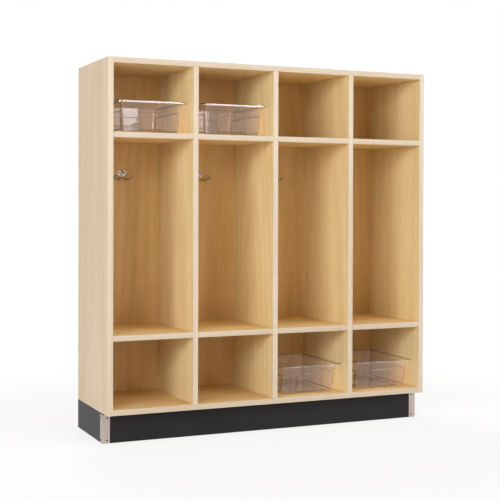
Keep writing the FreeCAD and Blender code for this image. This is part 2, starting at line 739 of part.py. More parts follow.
def end_cover(side):
    """Build the cover on an end of the base, flush with the locker's side."""
    hand = SIDES[side]
    body = new_body(f"base_{side}_cover")
    outline = new_sketch(body, "outline", "XY_Plane")
    outer = f"({hand} * overall_width / 2)"
    rectangle(outline, outer, BASE_FRONT, f"{outer} - {hand} * cover_thickness", REAR)
    pad(body, outline, "base_height")
    centres = [(f"{BASE_FRONT} + guard_screw_offset", level) for level in GUARD_SCREW_HEIGHTS]
    through = "cover_thickness"
    drill(body, "screw_holes", "YZ_Plane", outer, centres, GUARD_SCREW_HOLE, through, reverse=hand == LEFT)


def front_cover():
    """Build the cover on the front of the base, between the end covers."""
    body = new_body("base_front_cover")
    outline = new_sketch(body, "outline", "XY_Plane")
    half = "(overall_width / 2 - cover_thickness)"
    rectangle(outline, f"-{half}", BASE_FRONT, half, RAIL_FRONT)
    pad(body, outline, "base_height")
    across = [f"{hand} * (overall_width / 2 - guard_screw_offset)" for hand in (LEFT, RIGHT)]
    centres = [(x, level) for x in across for level in GUARD_SCREW_HEIGHTS]
    drill(body, "screw_holes", "XZ_Plane", f"-({BASE_FRONT})", centres, GUARD_SCREW_HOLE, "cover_thickness")


def corner_guard(side):
    """Build the metal angle on a front corner of the base, with two screw holes in each leg."""
    hand = SIDES[side]
    body = new_body(f"front_{side}_corner_guard")
    section = new_sketch(body, "section", "XY_Plane")
    corner_x = f"({hand} * overall_width / 2)"
    inward = f"{-hand} * "
    outer_x = f"({corner_x} + {hand} * guard_thickness)"
    outer_y = f"({BASE_FRONT} - guard_thickness)"
    points = [
        (outer_x, outer_y),
        (f"{outer_x} + {inward}guard_leg", outer_y),
        (f"{outer_x} + {inward}guard_leg", BASE_FRONT),
        (corner_x, BASE_FRONT),
        (corner_x, f"{outer_y} + guard_leg"),
        (outer_x, f"{outer_y} + guard_leg"),
    ]
    polygon(section, points)
    angle = pad(body, section, GUARD_HEIGHT)
    doc.recompute()
    corner = FreeCAD.Vector(number(outer_x), number(outer_y), 0)
    upright = [
        f"Edge{index}"
        for index, edge in enumerate(angle.Shape.Edges, start=1)
        if max(math.hypot(vertex.X - corner.x, vertex.Y - corner.y) for vertex in edge.Vertexes) < SAME_PLACE
    ]
    bend = body.newObject("PartDesign::Fillet", f"{body.Label}_bend")
    bend.Base = (angle, upright)
    bind(bend, Radius="guard_corner_radius")
    front = [(f"{hand} * (overall_width / 2 - guard_screw_offset)", level) for level in GUARD_SCREW_HEIGHTS]
    drill(body, "front_holes", "XZ_Plane", f"-({outer_y})", front, GUARD_SCREW_HOLE, "guard_thickness")
    flank = [(f"{BASE_FRONT} + guard_screw_offset", level) for level in GUARD_SCREW_HEIGHTS]
    through = "guard_thickness"
    drill(body, "side_holes", "YZ_Plane", outer_x, flank, GUARD_SCREW_HOLE, through, reverse=hand == LEFT)


def guard_screws():
    """Build the screws that hold the corner guards."""
    screws = []
    for hand, axis in ((LEFT, "+X"), (RIGHT, "-X")):
        side_x = f"{hand} * (overall_width / 2 + guard_thickness)"
        front_x = f"{hand} * (overall_width / 2 - guard_screw_offset)"
        for level in GUARD_SCREW_HEIGHTS:
            name = f"guard_screw_{len(screws) + 1}"
            front_y = f"{BASE_FRONT} - guard_thickness"
            screws.append(screw(name, "guard_screw", "guard_screw_length", "+Y", front_x, front_y, level))
            name = f"guard_screw_{len(screws) + 1}"
            side_y = f"{BASE_FRONT} + guard_screw_offset"
            screws.append(screw(name, "guard_screw", "guard_screw_length", axis, side_x, side_y, level))
    group("corner_guard_screws", screws)


# Hooks
HOOK_LOW = "(-hook_low_drop)"
HOOK_TIP_RISE = "(hook_sweep_radius - sqrt(hook_sweep_radius^2 - (hook_tip_reach - hook_low_reach)^2))"


def shield_arcs(sketch):
    """Draw the three arcs of the hook's plate: one round each screw and one at the foot."""
    half = number("hook_hole_spacing / 2")
    drop = number("hook_foot_drop")
    slope = math.degrees(math.atan2(drop, half))
    growth = number("hook_foot_radius - hook_wing_radius")
    lean = math.degrees(math.asin(growth / math.hypot(half, drop)))
    tangent = slope - QUARTER_TURN + lean
    right = arc(sketch, "hook_hole_spacing / 2", "0", "hook_wing_radius", tangent, QUARTER_TURN)
    left = arc(sketch, "-hook_hole_spacing / 2", "0", "hook_wing_radius", QUARTER_TURN, HALF_TURN - tangent)
    foot = arc(sketch, "0", "-hook_foot_drop", "hook_foot_radius", -HALF_TURN - tangent, tangent)
    return [right, left, foot]


def prong(body, side, turn_angle):
    """Add one prong: a round bar that dips, sweeps out and rises to a ball."""
    path = new_sketch(body, f"{side}_path", "XZ_Plane")
    tilt(path, (0, -1, 0), turn_angle)
    low = number("hook_low_reach")
    throat = number("hook_throat_radius")
    sweep = number("hook_sweep_radius")
    root_angle = -math.acos((number("hook_root_reach") - low) / throat)
    tip_angle = math.asin((number("hook_tip_reach") - low) / sweep) - math.pi / 2
    normal = FreeCAD.Vector(0, 0, 1)
    dip_circle = Part.Circle(FreeCAD.Vector(low, number(HOOK_LOW) + throat, 0), normal, throat)
    rise_circle = Part.Circle(FreeCAD.Vector(low, number(HOOK_LOW) + sweep, 0), normal, sweep)
    dip = path.addGeometry(Part.ArcOfCircle(dip_circle, root_angle, -math.pi / 2))
    rise = path.addGeometry(Part.ArcOfCircle(rise_circle, -math.pi / 2, tip_angle))
    path.addConstraint(Sketcher.Constraint("Coincident", dip, 2, rise, 1))
    fix_point(path, dip, 2, "hook_low_reach", HOOK_LOW)
    for bend, radius in ((dip, "hook_throat_radius"), (rise, "hook_sweep_radius")):
        dimension(path, "DistanceX", (-1, 1, bend, 3), "hook_low_reach")
        dimension(path, "Radius", (bend,), radius)
    dimension(path, "DistanceX", (-1, 1, dip, 1), "hook_root_reach")
    dimension(path, "DistanceX", (-1, 1, rise, 2), "hook_tip_reach")
    doc.recompute()
    section = body.newObject("Sketcher::SketchObject", f"{body.Label}_{side}_section")
    section.AttachmentSupport = [(path, "Edge1")]
    section.MapMode = "NormalToEdge"
    circle(section, "0", "0", "hook_prong_diameter")
    doc.recompute()
    bar = body.newObject("PartDesign::AdditivePipe", f"{body.Label}_{side}_prong")
    bar.Profile = section
    bar.Spine = (path, ["Edge1", "Edge2"])
    ball = body.newObject("PartDesign::AdditiveSphere", f"{body.Label}_{side}_ball")
    bind(ball, Radius="hook_ball_diameter / 2")
    reach = f"hook_tip_reach * cos({turn_angle} * 1 deg)"
    out = f"-hook_tip_reach * sin({turn_angle} * 1 deg)"
    place(ball, reach, out, f"{HOOK_LOW} + {HOOK_TIP_RISE}")


def hook(column):
    """Build a cast double hook for one bay: a shield plate with a domed rib and two balled prongs."""
    body = new_body(f"hook_{column}")
    shield = new_sketch(body, "shield", "XZ_Plane")
    tangent_loop(shield, shield_arcs(shield))
    pad(body, shield, "hook_plate_thickness")
    rib = body.newObject("PartDesign::AdditiveEllipsoid", f"{body.Label}_rib")
    rib.Angle1 = 0
    turn(rib, (1, 0, 0), 90)
    bind(rib, Radius1="hook_boss_projection", Radius2="hook_boss_width / 2", Radius3="hook_boss_height / 2")
    place(rib, 0, 0, "-hook_boss_drop")
    prong(body, "right", "hook_splay")
    prong(body, "left", f"({HALF_TURN} - hook_splay)")
    groove(
        body,
        "flat_back",
        ("-hook_tip_reach", "0", "-2 * hook_low_drop"),
        "2 * hook_tip_reach",
        "hook_prong_diameter",
        "3 * hook_low_drop",
    )
    holes = [(f"{hand} * hook_hole_spacing / 2", "0") for hand in (LEFT, RIGHT)]
    through = "hook_plate_thickness"
    drill(body, "screw_holes", "XZ_Plane", through, holes, HOOK_SCREW_HOLE, through)
    place(body, column_middle(column), BACK_FACE, HOOK_HEIGHT)


def hook_screws():
    """Build the two screws of every hook."""
    screws = []
    seat = f"{BACK_FACE} - hook_plate_thickness"
    for column in range(1, COLUMNS + 1):
        for hand in (LEFT, RIGHT):
            x = f"{column_middle(column)} + {hand} * hook_hole_spacing / 2"
            name = f"hook_screw_{len(screws) + 1}"
            screws.append(screw(name, "hook_screw", "hook_screw_length", "+Y", x, seat, HOOK_HEIGHT))
    group("hook_screws", screws)


# Bins
BIN_WIDTH = f"({COLUMN} - 2 * bin_side_clearance)"
BIN_LENGTH = "(overall_depth - back_thickness - bin_setback - bin_rear_clearance)"
BIN_TOP_WIDTH = f"({BIN_WIDTH} - 2 * bin_rim_overhang)"
BIN_TOP_LENGTH = f"({BIN_LENGTH} - 2 * bin_rim_overhang)"
BIN_FOOT_WIDTH = f"({BIN_TOP_WIDTH} - 2 * bin_draft)"
BIN_FOOT_LENGTH = f"({BIN_TOP_LENGTH} - 2 * bin_draft)"
BIN_LEAN = "atan(bin_draft / bin_height)"


def panel_outline(body, name, role, offset, side, widths, inset):
    """Draw a panel on a sloping wall, as wide as given at its top and its foot, with round corners."""
    sketch = new_sketch(body, name, role, f"{side} * ({offset})")
    tilt(sketch, (side, 0, 0), BIN_LEAN)
    corner = f"(bin_panel_corner - {inset})"
    top_x, foot_x = [f"(({width}) / 2 - bin_panel_corner)" for width in widths]
    top = "(bin_panel_top - bin_panel_corner)"
    foot = "(bin_foot_radius + bin_panel_corner)"
    round_corners(sketch, [(top_x, top), (f"-{top_x}", top), (f"-{foot_x}", foot), (foot_x, foot)], corner)
    return sketch


def wall_panel(body, name, role, wall, side, widths):
    """Press a panel out of a wall: raised outside by its own height, sunk inside by the same."""
    depth = "bin_panel_raise + bin_wall / 2"
    raised = panel_outline(body, name, role, f"{wall} - bin_wall / 2", side, widths, "0")
    pad(body, raised, depth, reverse=side == LEFT)
    inner = f"{wall} - bin_wall * 3 / 2"
    sunk = panel_outline(body, f"{name}_recess", role, inner, side, widths, "bin_wall")
    return pocket(body, sunk, depth, reverse=side == RIGHT)


def round_edges(body, name, base, low, high, radius):
    """Round the edges that run from one level to another; equal levels pick out a level loop."""
    doc.recompute()
    span = FreeCAD.Vector(number(low), number(high), 0)
    picked = []
    for index, edge in enumerate(base.Shape.Edges, start=1):
        levels = [vertex.Z for vertex in edge.Vertexes]
        if span.isEqual(FreeCAD.Vector(min(levels), max(levels), 0), SAME_PLACE):
            picked.append(f"Edge{index}")
    fillet = body.newObject("PartDesign::Fillet", f"{body.Label}_{name}")
    fillet.Base = (base, picked)
    bind(fillet, Radius=radius)
    return fillet


def plain_outline(body, name, width, length, level):
    """Draw a plain rectangle about the middle of a bin at one level."""
    sketch = new_sketch(body, name, "XY_Plane", level)
    rectangle(sketch, f"-({width}) / 2", f"-({length}) / 2", f"({width}) / 2", f"({length}) / 2")
    return sketch


def inward(outline, step):
    """Give the width, length and corner radius of a rounded outline that lies a step inside another."""
    width, length, radius = outline
    return f"({width} - 2 * {step})", f"({length} - 2 * {step})", f"({radius} - {step})"


def clear_bin(index, level, column):
    """Build a moulded bin: leaning walls with pressed panels, round corners and a turned-down rim."""
    body = new_body(f"bin_{index}")
    foot = plain_outline(body, "foot", BIN_FOOT_WIDTH, BIN_FOOT_LENGTH, 0)
    block = pad(body, foot, "bin_height")
    bind(block, TaperAngle=BIN_LEAN)
    walls = (BIN_TOP_WIDTH, BIN_TOP_LENGTH, "bin_corner_radius")
    width, length, corner = inward(walls, "bin_wall")
    mouth = plain_outline(body, "mouth", width, length, "bin_height")
    hollow = pocket(body, mouth, "bin_height - bin_wall")
    bind(hollow, TaperAngle=f"-{BIN_LEAN}")
    rounded = round_edges(body, "inside_corners", hollow, "bin_wall", "bin_height", corner)
    rounded = round_edges(body, "outside_corners", rounded, "0", "bin_height", "bin_corner_radius")
    rounded = round_edges(body, "inside_foot", rounded, "bin_wall", "bin_wall", "bin_foot_radius - bin_wall")
    round_edges(body, "outside_foot", rounded, "0", "0", "bin_foot_radius")
    edge = (BIN_WIDTH, BIN_LENGTH, "bin_rim_corner_radius")
    plate = ("rim", inward(walls, "bin_wall / 2"), "bin_wall")
    skirt = ("skirt", inward(edge, "bin_wall"), "bin_rim_depth")
    for name, hole, depth in (plate, skirt):
        ring = new_sketch(body, name, "XY_Plane", "bin_height")
        rounded_rectangle(ring, *edge)
        rounded_rectangle(ring, *hole)
        pad(body, ring, depth, reverse=True)
    end_top = f"({BIN_FOOT_WIDTH} - 2 * bin_end_panel_margin)"
    end_widths = (end_top, f"{end_top} + 2 * bin_end_panel_flare")
    side_foot = f"({BIN_FOOT_LENGTH} - 2 * bin_side_panel_margin)"
    side_widths = (f"{side_foot} + 2 * bin_side_panel_flare", side_foot)
    wall_panel(body, "front_panel", "XZ_Plane", f"{BIN_FOOT_LENGTH} / 2", RIGHT, end_widths)
    wall_panel(body, "rear_panel", "XZ_Plane", f"{BIN_FOOT_LENGTH} / 2", LEFT, end_widths)
    wall_panel(body, "right_panel", "YZ_Plane", f"{BIN_FOOT_WIDTH} / 2", RIGHT, side_widths)
    pressed = wall_panel(body, "left_panel", "YZ_Plane", f"{BIN_FOOT_WIDTH} / 2", LEFT, side_widths)
    eased = round_edges(body, "rim_top", pressed, "bin_height", "bin_height", "bin_edge_radius")
    rim_foot = "bin_height - bin_rim_depth"
    round_edges(body, "rim_foot", eased, rim_foot, rim_foot, "bin_edge_radius")
    seat = f"{UPPER_SHELF} + panel_thickness" if level == "upper" else FLOOR_TOP
    place(body, column_middle(column), f"{FRONT} + bin_setback + {BIN_LENGTH} / 2", f"{seat} + bin_seat_gap")


# The whole locker
for side in SIDES:
    side_panel(side)
cross_panel("top_panel", TOP_UNDERSIDE, grooves_up=False)
bottom_panel()
for index in range(1, DIVIDERS + 1):
    divider(index)
for level, height in (("upper", UPPER_SHELF), ("lower", LOWER_SHELF)):
    for column in range(1, COLUMNS + 1):
        shelf(level, height, column)
countersink_back(back_panel())

for side, hand in SIDES.items():
    middle = f"{hand} * (overall_width / 2 - panel_thickness / 2)"
    upright_band(f"{side}_side_edge_band", SIDE_HEIGHT, middle, "base_height")
level_band("top_edge_band", INSIDE_WIDTH, "0", TOP_UNDERSIDE)
level_band("bottom_edge_band", INSIDE_WIDTH, "0", "base_height")
for index in range(1, DIVIDERS + 1):
    upright_band(f"divider_{index}_edge_band", CLEAR_HEIGHT, divider_middle(index), FLOOR_TOP)
for level, height in (("upper", UPPER_SHELF), ("lower", LOWER_SHELF)):
    for column in range(1, COLUMNS + 1):
        level_band(f"{level}_shelf_{column}_edge_band", COLUMN, column_middle(column), height)
carcase_dowels()
back_screws()

for side in SIDES:
    end_rail(side)
long_rail("base_front_rail", RAIL_FRONT)
long_rail("base_rear_rail", RAIL_INSIDE_REAR)
for index, column in enumerate(CROSS_RAIL_COLUMNS, start=1):
    cross_rail(index, column)
base_dowels()
for side in SIDES:
    cleat(side)
cleat_screws()
for side in SIDES:
    end_cover(side)
front_cover()
for side in SIDES:
    corner_guard(side)
guard_screws()

for column in range(1, COLUMNS + 1):
    hook(column)
hook_screws()
for index, (level, column) in enumerate(BIN_PLACES, start=1):
    clear_bin(index, level, column)

# Check every object and write the sub-parts
doc.recompute()
for item in doc.Objects:
    if "Invalid" in item.State or "Error" in item.State:
        raise RuntimeError(f"{item.Name} failed: {item.State}")
for item in sub_parts:
    if item.Shape.isNull() or not item.Shape.isValid():
        raise RuntimeError(f"{item.Label} has no valid shape")
os.makedirs("parts", exist_ok=True)
for item in sub_parts:
    item.Shape.exportStep(os.path.join("parts", f"{item.Label}.step"))
print(f"{len(sub_parts)} sub-parts written")
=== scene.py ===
"""Looks for an open maple locker with coat hooks and clear bins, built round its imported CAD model."""

from __future__ import annotations

import logging
import math
from collections.abc import Iterable, Mapping
from dataclasses import dataclass, fields
from enum import Enum
from typing import Any

import bmesh
import bpy
from mathutils import Matrix, Vector

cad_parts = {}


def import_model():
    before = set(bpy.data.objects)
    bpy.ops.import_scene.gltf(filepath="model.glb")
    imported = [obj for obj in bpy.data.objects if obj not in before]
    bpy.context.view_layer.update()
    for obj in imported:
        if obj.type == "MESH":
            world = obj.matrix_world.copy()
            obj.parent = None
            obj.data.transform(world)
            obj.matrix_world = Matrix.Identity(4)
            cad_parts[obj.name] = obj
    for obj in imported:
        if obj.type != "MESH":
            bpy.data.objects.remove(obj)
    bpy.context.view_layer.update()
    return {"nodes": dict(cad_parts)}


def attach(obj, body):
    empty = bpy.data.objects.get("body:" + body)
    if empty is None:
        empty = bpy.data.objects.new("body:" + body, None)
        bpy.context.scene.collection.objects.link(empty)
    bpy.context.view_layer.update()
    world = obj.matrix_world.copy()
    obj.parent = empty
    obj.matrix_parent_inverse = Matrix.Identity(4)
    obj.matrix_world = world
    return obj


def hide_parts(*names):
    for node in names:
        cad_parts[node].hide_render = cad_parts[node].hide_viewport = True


LOG = logging.getLogger("locker")
MM = 0.001
WHITE = (1.0, 1.0, 1.0, 1.0)
# Points nearer than this are one point in a copy of a CAD mesh
WELD_M = 1e-6
# Decimals of a metre by which the rings of a screw are told apart
RING_DECIMALS = 6
# Faces that meet at a smaller angle are shaded as one curve
CREASE_DEG = 30.0
# The sRGB curve is straight up to its knee and a power above it
SRGB_KNEE = 0.04045
SRGB_SLOPE = 12.92
SRGB_OFFSET = 0.055
SRGB_POWER = 2.4


class Grain(Enum):
    """The way that a board's grain runs, as the axis of the locker it follows."""

    LEVEL = 0
    UPRIGHT = 2


def linear(code: str) -> tuple[float, float, float, float]:
    """Turn an sRGB hex colour into linear light.

    Args:
        code: Six hex digits with a leading hash.

    Returns:
        Red, green, blue and an alpha of one.
    """
    light = []
    for start in (1, 3, 5):
        level = int(code[start : start + 2], 16) / 255
        if level <= SRGB_KNEE:
            light.append(level / SRGB_SLOPE)
        else:
            light.append(((level + SRGB_OFFSET) / (1.0 + SRGB_OFFSET)) ** SRGB_POWER)
    return light[0], light[1], light[2], 1.0


def per_metre(size_mm: float) -> float:
    """Give the texture scale at which one feature is a real size in millimetres."""
    return 1.0 / (size_mm * MM)


def add_node(
    tree: bpy.types.NodeTree,
    kind: str,
    inputs: Mapping[str | int, Any] | None = None,
    **settings: Any,
) -> bpy.types.Node:
    """Add a node with its settings, its fixed values and its links.

    Args:
        tree: The material's or the world's node tree.
        kind: Blender's name for the node type.
        inputs: Socket name or index to a value, or to another node's output socket.
        **settings: The node's own properties.

    Returns:
        The new node.
    """
    made = tree.nodes.new(kind)
    for name, value in settings.items():
        setattr(made, name, value)
    for name, value in (inputs or {}).items():
        if isinstance(value, bpy.types.NodeSocket):
            tree.links.new(value, made.inputs[name])
        else:
            made.inputs[name].default_value = value
    return made


def set_ramp(ramp: bpy.types.Node, positions: Iterable[float], codes: Iterable[str]) -> None:
    """Give a colour ramp its stops.

    Args:
        ramp: A colour ramp node.
        positions: Places of the stops, from 0 to 1.
        codes: An sRGB hex colour for each stop.
    """
    elements = ramp.color_ramp.elements
    for index, (position, code) in enumerate(zip(positions, codes, strict=True)):
        element = elements[index] if index < len(elements) else elements.new(position)
        element.position = position
        element.color = linear(code)


def new_tree(name: str) -> tuple[bpy.types.Material, bpy.types.NodeTree]:
    """Start a material with an empty node tree.

    Args:
        name: The material's name.

    Returns:
        The material and its tree.
    """
    material = bpy.data.materials.new(name)
    material.use_nodes = True
    material.node_tree.nodes.clear()
    return material, material.node_tree


@dataclass(frozen=True)
class MapleVeneer:
    """Maple, rotary-cut or planed, under a satin clear coat."""

    # The eye gets a pale even ground with soft clouds and flames along the grain,
    # fine fibres and a few brown flecks
    name: str
    grain: Grain
    pale: str = "#DDC7A6"
    middle: str = "#D8BE9D"
    deep: str = "#D1B48E"
    roughness: float = 0.48
    coat: float = 0.25
    fleck: str = "#C9A273"
    sheen: float = 0.5
    ior: float = 1.5
    coat_roughness: float = 0.4
    roughness_spread: float = 0.06
    cloud_width_mm: float = 60.0
    cloud_length_mm: float = 420.0
    cloud_detail: float = 3.0
    flame_width_mm: float = 130.0
    flame_length_mm: float = 900.0
    flame_rings: float = 1.1
    flame_bend: float = 7.0
    flame_detail: float = 3.0
    flame_detail_scale: float = 0.7
    # Real fibres and flecks are under a millimetre wide, so they are drawn coarser to show
    fibre_width_mm: float = 3.0
    fibre_length_mm: float = 70.0
    fibre_detail: float = 2.0
    fibre_relief_mm: float = 0.2
    fibre_relief: float = 0.12
    fleck_width_mm: float = 7.0
    fleck_length_mm: float = 34.0
    fleck_detail: float = 1.0
    # The noise's levels at which a fleck starts and is full, and how much it then covers
    fleck_start: float = 0.66
    fleck_full: float = 0.8
    fleck_cover: float = 0.6
    streak_roughness: float = 0.6
    streak_bend: float = 0.4
    # Shares in the figure, and its levels that are deep, middle and pale
    flame_share: float = 0.22
    fibre_share: float = 0.3
    tones: tuple[float, float, float] = (0.3, 0.5, 0.7)

    def stretched(
        self, tree: bpy.types.NodeTree, width_mm: float, length_mm: float
    ) -> bpy.types.NodeSocket:
        """Scale the piece's coordinates to one kind of feature, which follows the grain.

        Args:
            tree: The material's tree.
            width_mm: Size of a feature across the grain.
            length_mm: Size of a feature along the grain.

        Returns:
            The scaled coordinates.
        """
        place = add_node(tree, "ShaderNodeTexCoord").outputs["Object"]
        scale = [per_metre(width_mm)] * 3
        scale[self.grain.value] = per_metre(length_mm)
        return add_node(tree, "ShaderNodeMapping", {"Vector": place, "Scale": scale}).outputs["Vector"]

    def streaks(
        self, tree: bpy.types.NodeTree, width_mm: float, length_mm: float, detail: float
    ) -> bpy.types.NodeSocket:
        """Add a noise drawn out along the grain.

        Args:
            tree: The material's tree.
            width_mm: Size of a feature across the grain.
            length_mm: Size of a feature along the grain.
            detail: How many finer layers lie on it.

        Returns:
            The noise's value socket.
        """
        noise = add_node(
            tree,
            "ShaderNodeTexNoise",
            {
                "Vector": self.stretched(tree, width_mm, length_mm),
                "Scale": 1.0,
                "Detail": detail,
                "Roughness": self.streak_roughness,
                "Distortion": self.streak_bend,
            },
        )
        return noise.outputs["Fac"]

    def build(self) -> bpy.types.Material:
        """Make the material.

        Returns:
            The new material.
        """
        material, tree = new_tree(self.name)
        cloud = self.streaks(tree, self.cloud_width_mm, self.cloud_length_mm, self.cloud_detail)
        fibre = self.streaks(tree, self.fibre_width_mm, self.fibre_length_mm, self.fibre_detail)
        speck = self.streaks(tree, self.fleck_width_mm, self.fleck_length_mm, self.fleck_detail)
        flame = add_node(
            tree,
            "ShaderNodeTexWave",
            {
                "Vector": self.stretched(tree, self.flame_width_mm, self.flame_length_mm),
                "Scale": self.flame_rings,
                "Distortion": self.flame_bend,
                "Detail": self.flame_detail,
                "Detail Scale": self.flame_detail_scale,
            },
            wave_type="RINGS",
            rings_direction="SPHERICAL",
        )
        clouded = add_node(
            tree,
            "ShaderNodeMix",
            {"Factor": self.flame_share, "A": cloud, "B": flame.outputs["Fac"]},
            data_type="FLOAT",
        )
        figure = add_node(
            tree,
            "ShaderNodeMix",
            {"Factor": self.fibre_share, "A": clouded.outputs["Result"], "B": fibre},
            data_type="FLOAT",
        )
        ramp = add_node(tree, "ShaderNodeValToRGB", {"Fac": figure.outputs["Result"]})
        set_ramp(ramp, self.tones, (self.deep, self.middle, self.pale))
        spots = add_node(
            tree,
            "ShaderNodeMapRange",
            {
                "Value": speck,
                "From Min": self.fleck_start,
                "From Max": self.fleck_full,
                "To Max": self.fleck_cover,
            },
        )
        colour = add_node(
            tree,
            "ShaderNodeMix",
            {"Factor": spots.outputs["Result"], "A": ramp.outputs["Color"], "B": linear(self.fleck)},
            data_type="RGBA",
        )
        bump = add_node(
            tree,
            "ShaderNodeBump",
            {"Strength": self.fibre_relief, "Distance": self.fibre_relief_mm * MM, "Height": fibre},
        )
        gloss = add_node(
            tree,
            "ShaderNodeMapRange",
            {
                "Value": fibre,
                "To Min": self.roughness - self.roughness_spread,
                "To Max": self.roughness + self.roughness_spread,
            },
        )
        shader = add_node(
            tree,
            "ShaderNodeBsdfPrincipled",
            {
                "Base Color": colour.outputs["Result"],
                "Roughness": gloss.outputs["Result"],
                "Normal": bump.outputs["Normal"],
                "IOR": self.ior,
                "Specular IOR Level": self.sheen,
                "Coat Weight": self.coat,
                "Coat Roughness": self.coat_roughness,
            },
        )
        add_node(tree, "ShaderNodeOutputMaterial", {"Surface": shader.outputs["BSDF"]})
        return material


@dataclass(frozen=True)
class CalenderedVinyl:
    """Black vinyl cover sheet, calendered with a fine pebble."""

    # The eye gets a nearly matt black that the pebble greys at low angles
    name: str = "black_vinyl_sheet"
    dark: str = "#101113"
    light: str = "#161719"
    sheen_tint: str = "#FFF0F0"
    sheen: float = 0.28
    ior: float = 1.5
    roughness: float = 0.46
    roughness_spread: float = 0.05
    # The real pebble is about half a millimetre, so it is drawn coarser to show in the render
    pebble_mm: float = 2.2
    pebble_detail: float = 2.0
    pebble_relief_mm: float = 0.15
    pebble_relief: float = 0.25
    patch_mm: float = 160.0
    patch_detail: float = 3.0
    tones: tuple[float, float] = (0.3, 0.7)

    def build(self) -> bpy.types.Material:
        """Make the material.

        Returns:
            The new material.
        """
        material, tree = new_tree(self.name)
        place = add_node(tree, "ShaderNodeTexCoord").outputs["Object"]
        patch = add_node(
            tree,
            "ShaderNodeTexNoise",
            {"Vector": place, "Scale": per_metre(self.patch_mm), "Detail": self.patch_detail},
        )
        pebble = add_node(
            tree,
            "ShaderNodeTexNoise",
            {"Vector": place, "Scale": per_metre(self.pebble_mm), "Detail": self.pebble_detail},
        )
        ramp = add_node(tree, "ShaderNodeValToRGB", {"Fac": patch.outputs["Fac"]})
        set_ramp(ramp, self.tones, (self.dark, self.light))
        bump = add_node(
            tree,
            "ShaderNodeBump",
            {
                "Strength": self.pebble_relief,
                "Distance": self.pebble_relief_mm * MM,
                "Height": pebble.outputs["Fac"],
            },
        )
        gloss = add_node(
            tree,
            "ShaderNodeMapRange",
            {
                "Value": patch.outputs["Fac"],
                "To Min": self.roughness - self.roughness_spread,
                "To Max": self.roughness + self.roughness_spread,
            },
        )
        shader = add_node(
            tree,
            "ShaderNodeBsdfPrincipled",
            {
                "Base Color": ramp.outputs["Color"],
                "Roughness": gloss.outputs["Result"],
                "Normal": bump.outputs["Normal"],
                "IOR": self.ior,
                "Specular IOR Level": self.sheen,
                "Specular Tint": linear(self.sheen_tint),
            },
        )
        add_node(tree, "ShaderNodeOutputMaterial", {"Surface": shader.outputs["BSDF"]})
        return material


@dataclass(frozen=True)
class BrushedMetal:
    """Bare or plated metal that was brushed or drawn."""

    # The eye gets a sheen whose gloss and colour vary along the lines of the brush
    name: str
    bright: str
    dull: str
    roughness: float
    roughness_spread: float = 0.06
    line_width_mm: float = 2.0
    line_length_mm: float = 60.0
    line_detail: float = 3.0
    tones: tuple[float, float] = (0.3, 0.7)

    def build(self) -> bpy.types.Material:
        """Make the material.

        Returns:
            The new material.
        """
        material, tree = new_tree(self.name)
        place = add_node(tree, "ShaderNodeTexCoord").outputs["Object"]
        across = per_metre(self.line_width_mm)
        scale = (across, across, per_metre(self.line_length_mm))
        lines = add_node(tree, "ShaderNodeMapping", {"Vector": place, "Scale": scale}).outputs["Vector"]
        streak = add_node(
            tree, "ShaderNodeTexNoise", {"Vector": lines, "Scale": 1.0, "Detail": self.line_detail}
        )
        ramp = add_node(tree, "ShaderNodeValToRGB", {"Fac": streak.outputs["Fac"]})
        set_ramp(ramp, self.tones, (self.dull, self.bright))
        gloss = add_node(
            tree,
            "ShaderNodeMapRange",
            {
                "Value": streak.outputs["Fac"],
                "To Min": self.roughness - self.roughness_spread,
                "To Max": self.roughness + self.roughness_spread,
            },
        )
        shader = add_node(
            tree,
            "ShaderNodeBsdfPrincipled",
            {
                "Base Color": ramp.outputs["Color"],
                "Roughness": gloss.outputs["Result"],
                "Metallic": 1.0,
            },
        )
        add_node(tree, "ShaderNodeOutputMaterial", {"Surface": shader.outputs["BSDF"]})
        return material


@dataclass(frozen=True)
class ClearStyrene:
    """Clear styrene, injection moulded in a polished tool."""

    # The eye gets sharp reflections, a faint warm tint and slight flow marks
    name: str = "clear_styrene"
    tint: str = "#FBF6F4"
    # Lamp light goes through the walls with little loss, so what stands behind them stays bright
    shade: str = "#F6F0EC"
    roughness: float = 0.03
    ior: float = 1.55
    flow_mm: float = 35.0
    flow_detail: float = 2.0
    flow_relief_mm: float = 0.5
    flow_relief: float = 0.08

    def build(self) -> bpy.types.Material:
        """Make the material.

        Returns:
            The new material.
        """
        material, tree = new_tree(self.name)
        place = add_node(tree, "ShaderNodeTexCoord").outputs["Object"]
        flow = add_node(
            tree,
            "ShaderNodeTexNoise",
            {"Vector": place, "Scale": per_metre(self.flow_mm), "Detail": self.flow_detail},
        )
        bump = add_node(
            tree,
            "ShaderNodeBump",
            {
                "Strength": self.flow_relief,
                "Distance": self.flow_relief_mm * MM,
                "Height": flow.outputs["Fac"],
            },
        )
        clear = add_node(
            tree,
            "ShaderNodeBsdfPrincipled",
            {
                "Base Color": linear(self.tint),
                "Roughness": self.roughness,
                "IOR": self.ior,
                "Transmission Weight": 1.0,
                "Normal": bump.outputs["Normal"],
            },
        )
        passing = add_node(tree, "ShaderNodeBsdfTransparent", {"Color": linear(self.shade)})
        path = add_node(tree, "ShaderNodeLightPath")
        shader = add_node(
            tree,
            "ShaderNodeMixShader",
            {0: path.outputs["Is Shadow Ray"], 1: clear.outputs["BSDF"], 2: passing.outputs["BSDF"]},
        )
        add_node(tree, "ShaderNodeOutputMaterial", {"Surface": shader.outputs["Shader"]})
        return material


Finish = MapleVeneer | CalenderedVinyl | BrushedMetal | ClearStyrene


